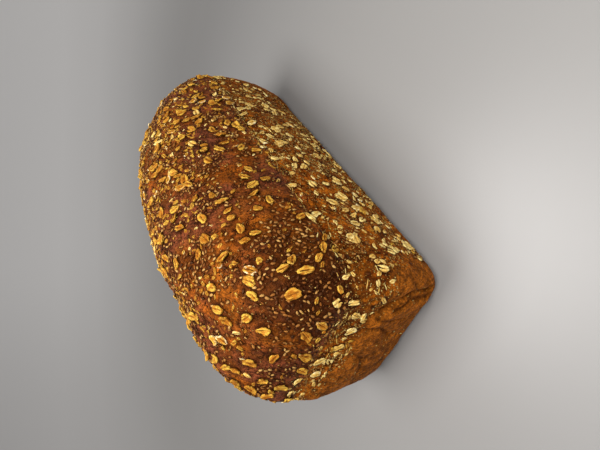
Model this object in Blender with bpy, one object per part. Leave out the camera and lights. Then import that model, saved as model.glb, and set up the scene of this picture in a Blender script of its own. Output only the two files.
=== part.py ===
"""A tall wholemeal loaf baked in a tin, with rolled oats on its crust.

Metres, +Z up. The loaf lies along X and rests on Z = 0, with the origin at the middle of its base.
-X is the end with the folded dough, and -Y the long side with the pale oats.
"""

import math

import bmesh
import bpy
import numpy as np
from mathutils import Matrix, Vector, noise

# The lower half, which keeps the shape of the tin
BASE_LENGTH = 0.2345
BASE_WIDTH = 0.0890
BASE_PLACE = (-0.0008, 0.0000)
BASE_ROUND = 0.0077
RIM_HEIGHT = 0.0634
NEAR_FLARE = 0.0050
FAR_FLARE = 0.0074
SIDE_FLARE = 0.0073
WALL_BELLY = 0.0036
SIDE_WAIST = 0.0026
WAIST_FLATNESS = 6.0
WALL_SQUARENESS = 11.4

# The dome that rose over the tin's rim
CREST_HEIGHT = 0.1316
CREST_LEAN = 0.0014
CREST_TILT = -0.078
NEAR_ROUNDNESS = 2.42
FAR_ROUNDNESS = 3.04
SIDE_ROUNDNESS = 1.92
DOME_SQUARENESS = 2.00
SQUARENESS_FADE = 1.60
ROUND_SHARE = 0.15

# Relief of the crust: height in metres and size in metres
SWELLS = ((0.0013, 0.045), (0.0006, 0.017))
CREASE_HEIGHT = 0.068
LEDGE_HEIGHT = 0.0010
LEDGE_RISE = 0.007
LEDGE_BAND = 0.0065
CREASE_DEPTH = 0.0013
CREASE_BAND = 0.0028
CREASE_WANDER = 0.003
WANDER_SIZE = 0.04
CREASE_PATCHES = (-0.15, 0.35, 0.035)
RELIEF_START = 0.0008
RELIEF_FULL = 0.007

# Folds of the dough at both ends: points across the end and up it, depth, width
END_FOLDS = (
    (((-0.037, 0.009), (-0.038, 0.030), (-0.034, 0.042), (-0.027, 0.049)), -0.0022, 0.0036),
    (((-0.028, 0.012), (-0.029, 0.032), (-0.021, 0.044)), 0.0014, 0.0050),
    (((-0.018, 0.049), (-0.012, 0.032), (-0.002, 0.013)), -0.0012, 0.0036),
    (((0.004, 0.045), (0.010, 0.036), (0.026, 0.030)), -0.0009, 0.0036),
)
# Hollows and bulges of the dome's corners: place, radius, height
DENTS = (
    ((-0.113, -0.046, 0.073), 0.009, -0.0026),
    ((-0.115, -0.038, 0.087), 0.008, -0.0018),
    ((-0.093, -0.043, 0.092), 0.005, -0.0012),
    ((-0.046, -0.032, 0.111), 0.004, -0.0010),
    ((-0.071, 0.014, 0.124), 0.018, -0.0018),
    ((-0.123, 0.041, 0.030), 0.012, -0.0014),
    ((-0.120, 0.046, 0.054), 0.008, 0.0012),
    ((0.108, 0.040, 0.086), 0.009, -0.0020),
)

# The mesh of the crust: cells along, across and up the wall
CELLS = (32, 18, 14)
END_CROWDING = 0.15
PROFILE_STEPS = 400

# The oat flakes that show most
FLAKE_SEED = 11
FLAKE_COUNT = 190
FLAKE_TRIES = 9000
FLAKE_GAP = 0.0088
FLAKE_LENGTHS = (0.0060, 0.0081)
FLAKE_SHAPES = (0.52, 0.76)
FLAKE_RISE = 0.0012
FLAKE_RIM = 0.0004
FLAKE_ROOT = 0.0019
FLAKE_SIDES = 7
FLAKE_TILT = 0.06
LEAST_EDGE = 0.00006

CRUST_COLOUR = (0.17, 0.062, 0.022, 1.0)
CRUST_ROUGHNESS = 0.62


def smooth_step(low, high, value):
    """From 0 at low to 1 at high, with level ends."""
    share = np.clip((value - low) / (high - low), 0.0, 1.0)
    return share * share * (3.0 - 2.0 * share)


def bell(distance, width):
    """1 at no distance, fading over width."""
    return np.exp(-((distance / width) ** 2))


def noise_at(points, size, offset=0.0):
    """Smooth noise from -1 to 1 at each point, with lumps of this size."""
    return np.array([noise.noise(Vector(p) / size + Vector((offset, 0.0, 0.0))) for p in points])


def dome_width(rise, roundness):
    """How wide the dome is, from 1 at the rim to 0 at the crest, at this share of its rise."""
    return np.maximum(1.0 - rise**roundness, 0.0) ** (1.0 / roundness)


def even_angles(shares):
    """Angles up the dome, from 0 to a right angle, at even steps along its curve."""
    angle = np.linspace(0.0, math.pi / 2, PROFILE_STEPS)
    rise = np.sin(angle)
    length = np.zeros(PROFILE_STEPS)
    for half, roundness in ((BASE_LENGTH / 2, NEAR_ROUNDNESS), (BASE_WIDTH / 2, SIDE_ROUNDNESS)):
        outward = np.diff(half * dome_width(rise, roundness))
        upward = np.diff((CREST_HEIGHT - RIM_HEIGHT) * rise)
        length[1:] += np.cumsum(np.hypot(outward, upward)) / half
    return np.interp(shares, length / length[-1], angle)


def loaf_points(box):
    """The smooth loaf's points for points on the box from -1 to 1: its walls, top and base."""
    reach = np.abs(box[:, :2]).max(axis=1)
    on_wall = reach > 1.0 - 1e-6
    plan = box[:, :2] / np.maximum(reach, 1e-9)[:, None]
    up_wall = np.where(on_wall, (box[:, 2] + 1.0) / 2.0, np.where(box[:, 2] > 0.0, 1.0, 0.0))
    up_dome = np.where(on_wall | (box[:, 2] < 0.0), 0.0, 1.0 - reach)

    turn = np.clip(up_wall / ROUND_SHARE, 0.0, 1.0) * math.pi / 2
    above = np.clip((up_wall - ROUND_SHARE) / (1.0 - ROUND_SHARE), 0.0, 1.0)
    height = BASE_ROUND * (1.0 - np.cos(turn)) + (RIM_HEIGHT - BASE_ROUND) * above
    share = height / RIM_HEIGHT
    belly = WALL_BELLY * np.sin(math.pi * share) - BASE_ROUND * (1.0 - np.sin(turn))

    angle = even_angles(up_dome)
    rise = np.sin(angle)
    fade = np.minimum(1.0, SQUARENESS_FADE * angle / (math.pi / 2))
    power = WALL_SQUARENESS + (DOME_SQUARENESS - WALL_SQUARENESS) * fade
    both = np.abs(plan[:, 0]) ** power + np.abs(plan[:, 1]) ** power
    corner = np.maximum(both, 1e-9) ** (-1.0 / power)

    near = plan[:, 0] < 0.0
    flare = np.where(near, NEAR_FLARE, FAR_FLARE) * share
    end_width = np.where(near, dome_width(rise, NEAR_ROUNDNESS), dome_width(rise, FAR_ROUNDNESS))
    x = plan[:, 0] * corner * (BASE_LENGTH / 2 + flare + belly) * end_width
    along = np.minimum(np.abs(x) / (BASE_LENGTH / 2), 1.0)
    waist = SIDE_WAIST * (1.0 - share) * (1.0 - along**WAIST_FLATNESS)
    side = (BASE_WIDTH / 2 + SIDE_FLARE * share + belly - waist) * dome_width(rise, SIDE_ROUNDNESS)
    y = plan[:, 1] * corner * side + CREST_LEAN * rise
    tilt = 1.0 + CREST_TILT * x / (BASE_LENGTH / 2)
    z = height + (CREST_HEIGHT - RIM_HEIGHT) * rise * tilt
    flat = box[:, 2] < -1.0 + 1e-6
    x = np.where(flat, x * reach, x)
    y = np.where(flat, y * reach, y)
    return np.stack([x, y, z], axis=1)


def distance_to_line(points, corners):
    """Each point's distance from the line through these corners."""
    nearest = np.full(len(points), np.inf)
    for start, end in zip(corners[:-1], corners[1:]):
        start = np.array(start)
        run = np.array(end) - start
        share = np.clip((points - start) @ run / (run @ run), 0.0, 1.0)
        nearest = np.minimum(nearest, np.linalg.norm(points - start - share[:, None] * run, axis=1))
    return nearest


def fold_relief(points):
    """The folds of the dough: as read at the near end, and turned half round at the far end."""
    height = np.zeros(len(points))
    for end in (-1.0, 1.0):
        at_end = smooth_step(0.80, 0.95, end * points[:, 0] / (BASE_LENGTH / 2))
        across = points[:, 1:] * np.array((-end, 1.0))
        for corners, depth, width in END_FOLDS:
            height += at_end * depth * bell(distance_to_line(across, corners), width)
    return height


def crust_relief(points):
    """How far the crust stands out of the smooth loaf, at each of its points."""
    height = np.zeros(len(points))
    for tall, size in SWELLS:
        height += tall * noise_at(points, size)
    wander = CREASE_WANDER * noise_at(points, WANDER_SIZE, 7.0)
    above_crease = points[:, 2] - CREASE_HEIGHT - wander
    least, most, size = CREASE_PATCHES
    sharp = smooth_step(least, most, noise_at(points, size, 17.0))
    height += LEDGE_HEIGHT * (0.4 + 0.6 * sharp) * bell(above_crease - LEDGE_RISE, LEDGE_BAND)
    height -= CREASE_DEPTH * (0.1 + 0.9 * sharp) * bell(above_crease, CREASE_BAND)
    height += fold_relief(points)
    for place, radius, depth in DENTS:
        height += depth * bell(np.linalg.norm(points - np.array(place), axis=1), radius)
    return height * smooth_step(RELIEF_START, RELIEF_FULL, points[:, 2])


def cuts(cells):
    """Where the box is cut into this many cells, a little closer together near its ends."""
    even = np.linspace(-1.0, 1.0, cells + 1)[1:-1]
    return even * (1.0 + END_CROWDING * (1.0 - even**2))


def loaf_mesh(name):
    """The crust as a closed mesh: a box cut into cells, bent to the loaf and given its relief."""
    shape = bmesh.new()
    bmesh.ops.create_cube(shape, size=2.0)
    for axis, cells in enumerate(CELLS):
        normal = Vector([1.0 if axis == i else 0.0 for i in range(3)])
        for place in cuts(cells):
            parts = shape.verts[:] + shape.edges[:] + shape.faces[:]
            bmesh.ops.bisect_plane(shape, geom=parts, plane_co=normal * place, plane_no=normal)
    box = np.array([v.co for v in shape.verts])
    points = loaf_points(box)
    for vert, point in zip(shape.verts, points):
        vert.co = point
    shape.normal_update()
    normals = np.array([v.normal for v in shape.verts])
    points += normals * crust_relief(points)[:, None]
    for vert, point in zip(shape.verts, points):
        vert.co = point
    under = [f for f in shape.faces if max(v.co.z for v in f.verts) < 1e-7]
    under = bmesh.ops.dissolve_faces(shape, faces=under, use_verts=False)["region"]
    bmesh.ops.poke(shape, faces=under)
    mesh = bpy.data.meshes.new(name)
    shape.to_mesh(mesh)
    shape.free()
    return mesh


def random_spots(mesh, count, draw):
    """Points spread evenly over the mesh at random, and the crust's direction outwards there."""
    mesh.calc_loop_triangles()
    corners = np.array([t.vertices for t in mesh.loop_triangles])
    places = np.array([v.co for v in mesh.vertices])
    outward = np.array([v.normal for v in mesh.vertices])
    a, b, c = (places[corners[:, i]] for i in range(3))
    area = np.linalg.norm(np.cross(b - a, c - a), axis=1)
    chosen = draw.choice(len(area), size=count, p=area / area.sum())
    first, second = draw.random(count), draw.random(count)
    over = first + second > 1.0
    first[over], second[over] = 1.0 - first[over], 1.0 - second[over]
    shares = np.stack([1.0 - first - second, first, second], axis=1)
    spots = (places[corners[chosen]] * shares[:, :, None]).sum(axis=1)
    normals = (outward[corners[chosen]] * shares[:, :, None]).sum(axis=1)
    return spots, normals / np.linalg.norm(normals, axis=1)[:, None]


def flake_cover(spots):
    """How thickly the flakes lie, from 0 to 1: clustered, with bare dough at the ends and corners."""
    x, y, z = spots.T
    walls = 1.0 - smooth_step(CREASE_HEIGHT - 0.004, CREASE_HEIGHT + 0.008, z)
    clumps = smooth_step(-0.28, 0.22, noise_at(spots, 0.026, 3.0))
    cover = (0.42 + 0.26 * walls + 0.22 * smooth_step(-0.05, 0.06, x)) * (0.20 + 0.80 * clumps)
    end = np.abs(x) / (BASE_LENGTH / 2)
    bare_end = smooth_step(0.93, 0.98, end) * (1.0 - smooth_step(0.050, 0.058, z + 0.15 * y * np.sign(x)))
    low = 1.0 - smooth_step(0.03, 0.06, z)
    bare_corner = low * smooth_step(0.83, 0.92, end + 0.003 / np.maximum(z, 0.01))
    under = 1.0 - smooth_step(0.006, 0.012, z)
    return cover * (1.0 - bare_end) * (1.0 - 0.9 * bare_corner) * (1.0 - under)


def flake_seats(mesh):
    """Where each flake lies: its place, direction outwards, turn, length and width."""
    draw = np.random.default_rng(FLAKE_SEED)
    spots, normals = random_spots(mesh, FLAKE_TRIES, draw)
    lucky = draw.random(FLAKE_TRIES) < flake_cover(spots)
    taken = np.empty((0, 3))
    seats = []
    for spot, normal in zip(spots[lucky], normals[lucky]):
        if len(seats) == FLAKE_COUNT:
            break
        if len(taken) and np.linalg.norm(taken - spot, axis=1).min() < FLAKE_GAP:
            continue
        taken = np.vstack([taken, spot])
        length = draw.uniform(*FLAKE_LENGTHS)
        seats.append((spot, normal, draw.uniform(0.0, math.pi), length, length * draw.uniform(*FLAKE_SHAPES)))
    return seats


def flake(name, seat, collection):
    """One oat flake: a low oval cone on a root that is sunk into the crust."""
    spot, normal, turn, length, width = seat
    shape = bmesh.new()
    tip = FLAKE_RISE - FLAKE_RIM
    for end, depth in ((1.0, tip), (-1.0, FLAKE_ROOT + FLAKE_RIM)):
        bmesh.ops.create_cone(
            shape, cap_ends=False, segments=FLAKE_SIDES, radius1=0.5, radius2=0.0, depth=depth,
            matrix=Matrix.Scale(end, 4, (0, 0, 1)) @ Matrix.Translation((0, 0, depth / 2)),
        )
    bmesh.ops.remove_doubles(shape, verts=shape.verts[:], dist=1e-6)
    bmesh.ops.recalc_face_normals(shape, faces=shape.faces[:])
    mesh = bpy.data.meshes.new(name)
    shape.to_mesh(mesh)
    shape.free()
    piece = bpy.data.objects.new(name, mesh)
    upright = Vector(normal).to_track_quat("Z", "Y").to_matrix().to_4x4()
    size = Matrix.Diagonal((length, width, 1.0, 1.0))
    tilt = Matrix.Rotation(FLAKE_TILT * math.sin(turn * FLAKE_SIDES), 4, "Y")
    lift = Matrix.Translation(Vector(spot) + Vector(normal) * FLAKE_RIM)
    mesh.transform(lift @ upright @ Matrix.Rotation(turn, 4, "Z") @ tilt @ size)
    collection.objects.link(piece)
    return piece


def without_slivers(mesh):
    """The mesh with points merged where the join left them too close together."""
    shape = bmesh.new()
    shape.from_mesh(mesh)
    bmesh.ops.triangulate(shape, faces=shape.faces[:])
    bmesh.ops.remove_doubles(shape, verts=shape.verts[:], dist=LEAST_EDGE)
    bmesh.ops.dissolve_degenerate(shape, dist=LEAST_EDGE / 2, edges=shape.edges[:])
    shape.to_mesh(mesh)
    shape.free()
    return mesh


def crust_material():
    """Brown baked crust."""
    material = bpy.data.materials.new("crust")
    material.use_nodes = True
    shader = material.node_tree.nodes["Principled BSDF"]
    shader.inputs["Base Color"].default_value = CRUST_COLOUR
    shader.inputs["Roughness"].default_value = CRUST_ROUGHNESS
    shader.inputs["Metallic"].default_value = 0.0
    return material


def new_collection(name):
    collection = bpy.data.collections.new(name)
    bpy.context.scene.collection.children.link(collection)
    return collection


def clear_scene():
    for old in list(bpy.data.objects):
        bpy.data.objects.remove(old, do_unlink=True)


def build_loaf():
    """The loaf as one solid: its crust with the flakes joined on."""
    loaf = bpy.data.objects.new("loaf", loaf_mesh("loaf"))
    new_collection("tin_loaf").objects.link(loaf)
    flakes = new_collection("flakes")
    for number, seat in enumerate(flake_seats(loaf.data)):
        flake(f"flake_{number:03d}", seat, flakes)
    join = loaf.modifiers.new("join_flakes", "BOOLEAN")
    join.operation = "UNION"
    join.operand_type = "COLLECTION"
    join.collection = flakes
    join.solver = "EXACT"
    bpy.context.view_layer.update()
    joined = bpy.data.meshes.new_from_object(loaf.evaluated_get(bpy.context.evaluated_depsgraph_get()))
    loaf.modifiers.clear()
    loaf.data = without_slivers(joined)
    joined.transform(Matrix.Translation((*BASE_PLACE, 0.0)))
    for old in list(flakes.objects):
        bpy.data.objects.remove(old, do_unlink=True)
    bpy.data.collections.remove(flakes)
    joined.materials.clear()
    joined.materials.append(crust_material())
    joined.shade_smooth()
    joined.set_sharp_from_angle(angle=math.radians(35))


clear_scene()
build_loaf()
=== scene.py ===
"""The tin loaf with its looks: baked crust, rolled oats, golden seeds and bran, in soft studio light.

Metres, in the same frame as the solids. The first half makes the form from the same named sizes.
"""

import math

import bmesh
import bpy
import numpy as np
from mathutils import Matrix, Vector, noise
from mathutils.bvhtree import BVHTree
from mathutils.kdtree import KDTree


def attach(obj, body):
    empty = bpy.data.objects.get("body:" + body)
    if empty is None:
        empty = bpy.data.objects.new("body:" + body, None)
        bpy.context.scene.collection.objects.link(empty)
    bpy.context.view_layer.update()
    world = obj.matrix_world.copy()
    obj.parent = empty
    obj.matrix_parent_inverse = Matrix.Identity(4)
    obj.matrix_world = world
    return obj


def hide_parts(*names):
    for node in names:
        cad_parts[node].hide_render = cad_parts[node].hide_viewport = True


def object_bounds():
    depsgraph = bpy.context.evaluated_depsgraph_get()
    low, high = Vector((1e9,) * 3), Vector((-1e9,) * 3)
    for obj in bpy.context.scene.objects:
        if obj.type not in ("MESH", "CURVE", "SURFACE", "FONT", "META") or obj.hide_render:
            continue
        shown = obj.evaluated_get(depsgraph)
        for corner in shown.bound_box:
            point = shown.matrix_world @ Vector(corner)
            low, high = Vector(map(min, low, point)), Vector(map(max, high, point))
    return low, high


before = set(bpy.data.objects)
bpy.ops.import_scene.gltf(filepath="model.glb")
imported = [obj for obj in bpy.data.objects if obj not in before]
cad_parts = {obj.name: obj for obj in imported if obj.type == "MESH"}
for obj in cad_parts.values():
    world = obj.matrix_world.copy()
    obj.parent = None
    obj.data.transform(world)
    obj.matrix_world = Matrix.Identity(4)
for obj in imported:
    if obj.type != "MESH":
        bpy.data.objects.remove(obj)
solid_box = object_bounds()

# The lower half, which keeps the shape of the tin
BASE_LENGTH = 0.2345
BASE_WIDTH = 0.0890
BASE_PLACE = (-0.0008, 0.0000)
BASE_ROUND = 0.0077
RIM_HEIGHT = 0.0634
NEAR_FLARE = 0.0050
FAR_FLARE = 0.0074
SIDE_FLARE = 0.0073
WALL_BELLY = 0.0036
SIDE_WAIST = 0.0026
WAIST_FLATNESS = 6.0
WALL_SQUARENESS = 11.4

# The dome that rose over the tin's rim
CREST_HEIGHT = 0.1316
CREST_LEAN = 0.0014
CREST_TILT = -0.078
NEAR_ROUNDNESS = 2.42
FAR_ROUNDNESS = 3.04
SIDE_ROUNDNESS = 1.92
DOME_SQUARENESS = 2.00
SQUARENESS_FADE = 1.60
ROUND_SHARE = 0.15

# Relief of the crust: height in metres and size in metres
SWELLS = ((0.0013, 0.045), (0.0006, 0.017))
CREASE_HEIGHT = 0.068
LEDGE_HEIGHT = 0.0010
LEDGE_RISE = 0.007
LEDGE_BAND = 0.0065
CREASE_DEPTH = 0.0013
CREASE_BAND = 0.0028
CREASE_WANDER = 0.003
WANDER_SIZE = 0.04
CREASE_PATCHES = (-0.15, 0.35, 0.035)
RELIEF_START = 0.0008
RELIEF_FULL = 0.007

# Folds of the dough at both ends: points across the end and up it, depth, width
END_FOLDS = (
    (((-0.037, 0.009), (-0.038, 0.030), (-0.034, 0.042), (-0.027, 0.049)), -0.0022, 0.0036),
    (((-0.028, 0.012), (-0.029, 0.032), (-0.021, 0.044)), 0.0014, 0.0050),
    (((-0.018, 0.049), (-0.012, 0.032), (-0.002, 0.013)), -0.0012, 0.0036),
    (((0.004, 0.045), (0.010, 0.036), (0.026, 0.030)), -0.0009, 0.0036),
)
# Hollows and bulges of the dome's corners: place, radius, height
DENTS = (
    ((-0.113, -0.046, 0.073), 0.009, -0.0026),
    ((-0.115, -0.038, 0.087), 0.008, -0.0018),
    ((-0.093, -0.043, 0.092), 0.005, -0.0012),
    ((-0.046, -0.032, 0.111), 0.004, -0.0010),
    ((-0.071, 0.014, 0.124), 0.018, -0.0018),
    ((-0.123, 0.041, 0.030), 0.012, -0.0014),
    ((-0.120, 0.046, 0.054), 0.008, 0.0012),
    ((0.108, 0.040, 0.086), 0.009, -0.0020),
)

# The coarse mesh that the largest flakes lie on, and the fine one that is seen
CELLS = (32, 18, 14)
FINE_CELLS = (230, 140, 76)
END_CROWDING = 0.15
PROFILE_STEPS = 400

# The oat flakes that show most
FLAKE_SEED = 11
FLAKE_COUNT = 190
FLAKE_TRIES = 9000
FLAKE_GAP = 0.0088
FLAKE_LENGTHS = (0.0060, 0.0081)
FLAKE_SHAPES = (0.52, 0.76)

# Fine relief of the crust: height and size, for the dome and for the walls
DOME_GRAIN = ((0.00035, 0.0070), (0.00030, 0.0030))
WALL_GRAIN = ((0.00030, 0.0060), (0.00034, 0.0026))
# Sharp creases inside the folds: points across the end and up it, depth, width
FINE_FOLDS = (
    (((-0.036, 0.010), (-0.0385, 0.022), (-0.037, 0.034), (-0.031, 0.044)), -0.0014, 0.0009),
    (((-0.0330, 0.010), (-0.0345, 0.024), (-0.030, 0.036)), -0.0011, 0.0010),
    (((-0.018, 0.049), (-0.015, 0.036), (-0.007, 0.025)), -0.0012, 0.0010),
    (((-0.025, 0.044), (-0.021, 0.032), (-0.019, 0.020)), -0.0007, 0.0009),
    (((0.002, 0.047), (0.009, 0.037), (0.022, 0.031)), -0.0007, 0.0009),
)
# The sharp crease inside the one round the loaf, and the height and size of its wander
FINE_CREASE_DEPTH = 0.0011
FINE_CREASE_BAND = 0.0009
FINE_WANDER = (0.0012, 0.007)

# How all flakes lie, and the shapes that the smaller ones have
LOOKS_SEED = 5
FLAKE_HEIGHTS = (0.0012, 0.0018)
FLAKE_TILT = 0.16
FLAKE_KINDS = 12
FLAT_CURL = 0.15
TOASTED_CURLS = (0.2, 0.9)
MORE_FLAKES = 300
MORE_FLAKE_LENGTHS = (0.0048, 0.0078)
MORE_FLAKE_SHAPES = (0.42, 0.70)
MORE_FLAKE_GAP = 0.0048
UPRIGHT = 0.5 * math.pi
TURN_SPREAD = 0.6

# Flakes on the walls that lie half under one another, like a fan
FAN_COUNT = 18
FAN_REACH = 0.095
FAN_TURNS = (0.35, 0.75)
FAN_SHIFT = 0.30
FAN_LIFT = 0.0004
FAN_TILT = 0.10
FAN_SIZES = (0.7, 1.0)
FAN_HEIGHT = 0.0013

# Smaller and thinner things on the crust
BIT_COUNT = 1200
BIT_LENGTHS = (0.0018, 0.0044)
BIT_GAP = 0.0026
SEED_COUNT = 3100
SEED_LENGTHS = (0.0019, 0.0028)
SEED_GAP = 0.0017
DARK_SEED_SHARE = 0.18
CRUMB_COUNT = 25000
CRUMB_LENGTHS = (0.0006, 0.0017)
SLIVER_COUNT = 340
SLIVER_LENGTHS = (0.0022, 0.0062)
SLIVER_WIDTHS = (0.0004, 0.0009)
SLIVER_HEIGHT = 0.0006
ROOM_CELL = 0.0075

# Painted shade on the crust close round flakes and seeds: strengths and width
FLAKE_SHADE = 0.95
SEED_SHADE = 0.75
SHADE_WIDTH = 0.0011

# The camera that took the photograph, which was turned on its side
CAMERA_PLACE = (-0.2151, -0.1597, 0.1869)
CAMERA_AIM = (0.6596, 0.5343, -0.5286)
CAMERA_ROLL = -90.06
CAMERA_LENS = 24.87
SENSOR_WIDTH = 36.0


def smooth_step(low, high, value):
    """From 0 at low to 1 at high, with level ends."""
    share = np.clip((value - low) / (high - low), 0.0, 1.0)
    return share * share * (3.0 - 2.0 * share)


def bell(distance, width):
    """1 at no distance, fading over width."""
    return np.exp(-((distance / width) ** 2))


def unit(rows):
    """The rows as directions, each 1 long."""
    return rows / np.maximum(np.linalg.norm(rows, axis=1), 1e-12)[:, None]


def noise_at(points, size, offset=0.0):
    """Smooth noise from -1 to 1 at each point, with lumps of this size."""
    return np.array([noise.noise(Vector(p) / size + Vector((offset, 0.0, 0.0))) for p in points])


def dome_width(rise, roundness):
    """How wide the dome is, from 1 at the rim to 0 at the crest, at this share of its rise."""
    return np.maximum(1.0 - rise**roundness, 0.0) ** (1.0 / roundness)


def even_angles(shares):
    """Angles up the dome, from 0 to a right angle, at even steps along its curve."""
    angle = np.linspace(0.0, math.pi / 2, PROFILE_STEPS)
    rise = np.sin(angle)
    length = np.zeros(PROFILE_STEPS)
    for half, roundness in ((BASE_LENGTH / 2, NEAR_ROUNDNESS), (BASE_WIDTH / 2, SIDE_ROUNDNESS)):
        outward = np.diff(half * dome_width(rise, roundness))
        upward = np.diff((CREST_HEIGHT - RIM_HEIGHT) * rise)
        length[1:] += np.cumsum(np.hypot(outward, upward)) / half
    return np.interp(shares, length / length[-1], angle)


def loaf_points(box):
    """The smooth loaf's points for points on the box from -1 to 1: its walls, top and base."""
    reach = np.abs(box[:, :2]).max(axis=1)
    on_wall = reach > 1.0 - 1e-6
    plan = box[:, :2] / np.maximum(reach, 1e-9)[:, None]
    up_wall = np.where(on_wall, (box[:, 2] + 1.0) / 2.0, np.where(box[:, 2] > 0.0, 1.0, 0.0))
    up_dome = np.where(on_wall | (box[:, 2] < 0.0), 0.0, 1.0 - reach)

    turn = np.clip(up_wall / ROUND_SHARE, 0.0, 1.0) * math.pi / 2
    above = np.clip((up_wall - ROUND_SHARE) / (1.0 - ROUND_SHARE), 0.0, 1.0)
    height = BASE_ROUND * (1.0 - np.cos(turn)) + (RIM_HEIGHT - BASE_ROUND) * above
    share = height / RIM_HEIGHT
    belly = WALL_BELLY * np.sin(math.pi * share) - BASE_ROUND * (1.0 - np.sin(turn))

    angle = even_angles(up_dome)
    rise = np.sin(angle)
    fade = np.minimum(1.0, SQUARENESS_FADE * angle / (math.pi / 2))
    power = WALL_SQUARENESS + (DOME_SQUARENESS - WALL_SQUARENESS) * fade
    both = np.abs(plan[:, 0]) ** power + np.abs(plan[:, 1]) ** power
    corner = np.maximum(both, 1e-9) ** (-1.0 / power)

    near = plan[:, 0] < 0.0
    flare = np.where(near, NEAR_FLARE, FAR_FLARE) * share
    end_width = np.where(near, dome_width(rise, NEAR_ROUNDNESS), dome_width(rise, FAR_ROUNDNESS))
    x = plan[:, 0] * corner * (BASE_LENGTH / 2 + flare + belly) * end_width
    along = np.minimum(np.abs(x) / (BASE_LENGTH / 2), 1.0)
    waist = SIDE_WAIST * (1.0 - share) * (1.0 - along**WAIST_FLATNESS)
    side = (BASE_WIDTH / 2 + SIDE_FLARE * share + belly - waist) * dome_width(rise, SIDE_ROUNDNESS)
    y = plan[:, 1] * corner * side + CREST_LEAN * rise
    tilt = 1.0 + CREST_TILT * x / (BASE_LENGTH / 2)
    z = height + (CREST_HEIGHT - RIM_HEIGHT) * rise * tilt
    flat = box[:, 2] < -1.0 + 1e-6
    x = np.where(flat, x * reach, x)
    y = np.where(flat, y * reach, y)
    return np.stack([x, y, z], axis=1)


def distance_to_line(points, corners):
    """Each point's distance from the line through these corners."""
    nearest = np.full(len(points), np.inf)
    for start, end in zip(corners[:-1], corners[1:]):
        start = np.array(start)
        run = np.array(end) - start
        share = np.clip((points - start) @ run / (run @ run), 0.0, 1.0)
        nearest = np.minimum(nearest, np.linalg.norm(points - start - share[:, None] * run, axis=1))
    return nearest


def fold_relief(points, folds):
    """The folds of the dough: as read at the near end, and turned half round at the far end."""
    height = np.zeros(len(points))
    for end in (-1.0, 1.0):
        at_end = smooth_step(0.80, 0.95, end * points[:, 0] / (BASE_LENGTH / 2))
        across = points[:, 1:] * np.array((-end, 1.0))
        for corners, depth, width in folds:
            height += at_end * depth * bell(distance_to_line(across, corners), width)
    return height


def crease(points):
    """Each point's height over the crease round the loaf, and how sharp the crease is there."""
    wander = CREASE_WANDER * noise_at(points, WANDER_SIZE, 7.0)
    least, most, size = CREASE_PATCHES
    return points[:, 2] - CREASE_HEIGHT - wander, smooth_step(least, most, noise_at(points, size, 17.0))


def crust_relief(points):
    """How far the crust stands out of the smooth loaf, at each of its points."""
    height = np.zeros(len(points))
    for tall, size in SWELLS:
        height += tall * noise_at(points, size)
    above_crease, sharp = crease(points)
    height += LEDGE_HEIGHT * (0.4 + 0.6 * sharp) * bell(above_crease - LEDGE_RISE, LEDGE_BAND)
    height -= CREASE_DEPTH * (0.1 + 0.9 * sharp) * bell(above_crease, CREASE_BAND)
    height += fold_relief(points, END_FOLDS)
    for place, radius, depth in DENTS:
        height += depth * bell(np.linalg.norm(points - np.array(place), axis=1), radius)
    return height * smooth_step(RELIEF_START, RELIEF_FULL, points[:, 2])


def cuts(cells):
    """Where the box is cut into this many cells, a little closer together near its ends."""
    even = np.linspace(-1.0, 1.0, cells + 1)[1:-1]
    return even * (1.0 + END_CROWDING * (1.0 - even**2))


def loaf_mesh(name):
    """The crust as a closed mesh: a box cut into cells, bent to the loaf and given its relief."""
    shape = bmesh.new()
    bmesh.ops.create_cube(shape, size=2.0)
    for axis, cells in enumerate(CELLS):
        normal = Vector([1.0 if axis == i else 0.0 for i in range(3)])
        for place in cuts(cells):
            parts = shape.verts[:] + shape.edges[:] + shape.faces[:]
            bmesh.ops.bisect_plane(shape, geom=parts, plane_co=normal * place, plane_no=normal)
    box = np.array([v.co for v in shape.verts])
    points = loaf_points(box)
    for vert, point in zip(shape.verts, points):
        vert.co = point
    shape.normal_update()
    normals = np.array([v.normal for v in shape.verts])
    points += normals * crust_relief(points)[:, None]
    for vert, point in zip(shape.verts, points):
        vert.co = point
    under = [f for f in shape.faces if max(v.co.z for v in f.verts) < 1e-7]
    under = bmesh.ops.dissolve_faces(shape, faces=under, use_verts=False)["region"]
    bmesh.ops.poke(shape, faces=under)
    mesh = bpy.data.meshes.new(name)
    shape.to_mesh(mesh)
    shape.free()
    return mesh


def random_spots(mesh, count, draw):
    """Points spread evenly over the mesh at random, and the crust's direction outwards there."""
    mesh.calc_loop_triangles()
    corners = np.array([t.vertices for t in mesh.loop_triangles])
    places = np.array([v.co for v in mesh.vertices])
    outward = np.array([v.normal for v in mesh.vertices])
    a, b, c = (places[corners[:, i]] for i in range(3))
    area = np.linalg.norm(np.cross(b - a, c - a), axis=1)
    chosen = draw.choice(len(area), size=count, p=area / area.sum())
    first, second = draw.random(count), draw.random(count)
    over = first + second > 1.0
    first[over], second[over] = 1.0 - first[over], 1.0 - second[over]
    shares = np.stack([1.0 - first - second, first, second], axis=1)
    spots = (places[corners[chosen]] * shares[:, :, None]).sum(axis=1)
    normals = (outward[corners[chosen]] * shares[:, :, None]).sum(axis=1)
    return spots, unit(normals)


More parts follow.
